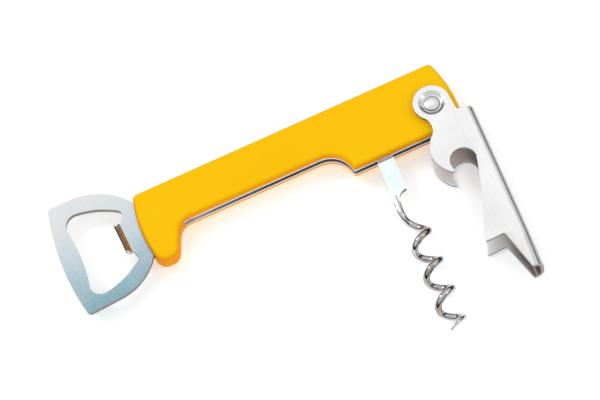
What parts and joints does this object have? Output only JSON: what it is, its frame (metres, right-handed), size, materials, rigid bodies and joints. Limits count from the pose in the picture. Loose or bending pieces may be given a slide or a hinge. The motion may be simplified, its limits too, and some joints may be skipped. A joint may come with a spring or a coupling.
{
  "type": "waiters corkscrew",
  "caption": "Folding corkscrew with a plastic-covered steel handle, a cap-lifter plate, a fold-out wire worm and a folded-channel lever with a hook and a foot.",
  "frame": {"origin": "centre of the open tool's bounding box, at the lowest plane of the lever's back wall, on which it lies", "axes": "+X along the handle towards the lever end, +Y towards the handle's back edge, +Z out of the front cover"},
  "size_m": [0.145, 0.0998, 0.0124],
  "materials": {
    "cover": "satin yellow moulding",
    "liner": "rolled sheet with sheared edges",
    "opener": "zinc-bright stamped plate",
    "inner_steel": "plain rolled steel",
    "worm": "bright chrome plate",
    "lever": "satin nickel sheet",
    "rivet": "satin nickel"
  },
  "bodies": {
    "handle": {"front_cover": "cover", "back_cover": "cover", "front_liner": "liner", "back_liner": "liner", "opener_plate": "opener", "worm_spring": "inner_steel", "end_spacer": "inner_steel", "worm_pin": "inner_steel", "core_rivet_1": "inner_steel", "core_rivet_2": "inner_steel", "core_rivet_3": "inner_steel", "core_rivet_4": "inner_steel", "core_rivet_5": "inner_steel"},
    "worm": {"worm": "worm"},
    "pivot": {"lever_rivet": "rivet"},
    "lever": {"lever": "lever"}
  },
  "joints": [
    {"name": "worm_fold", "type": "hinge", "parent": "handle", "child": "worm", "pos_m": [0.03935, 0.02145, 0.0062], "axis": [0, 0, 1], "range_deg": [-85.5, 50]},
    {"name": "lever_fold", "type": "hinge", "parent": "handle", "child": "pivot", "pos_m": [0.06065, 0.02605, 0.0062], "axis": [0, 0, 1], "range_deg": [-87.05, 50.9]},
    {"name": "lever_swing", "type": "hinge", "parent": "pivot", "child": "lever", "pos_m": [0.06065, 0.02605, 0.0062], "axis": [0, 0, 1], "range_deg": [0, 34]}
  ],
  "couplings": [
    {"joint": "lever_fold", "follows": "worm_fold", "ratio": 1.018}
  ]
}
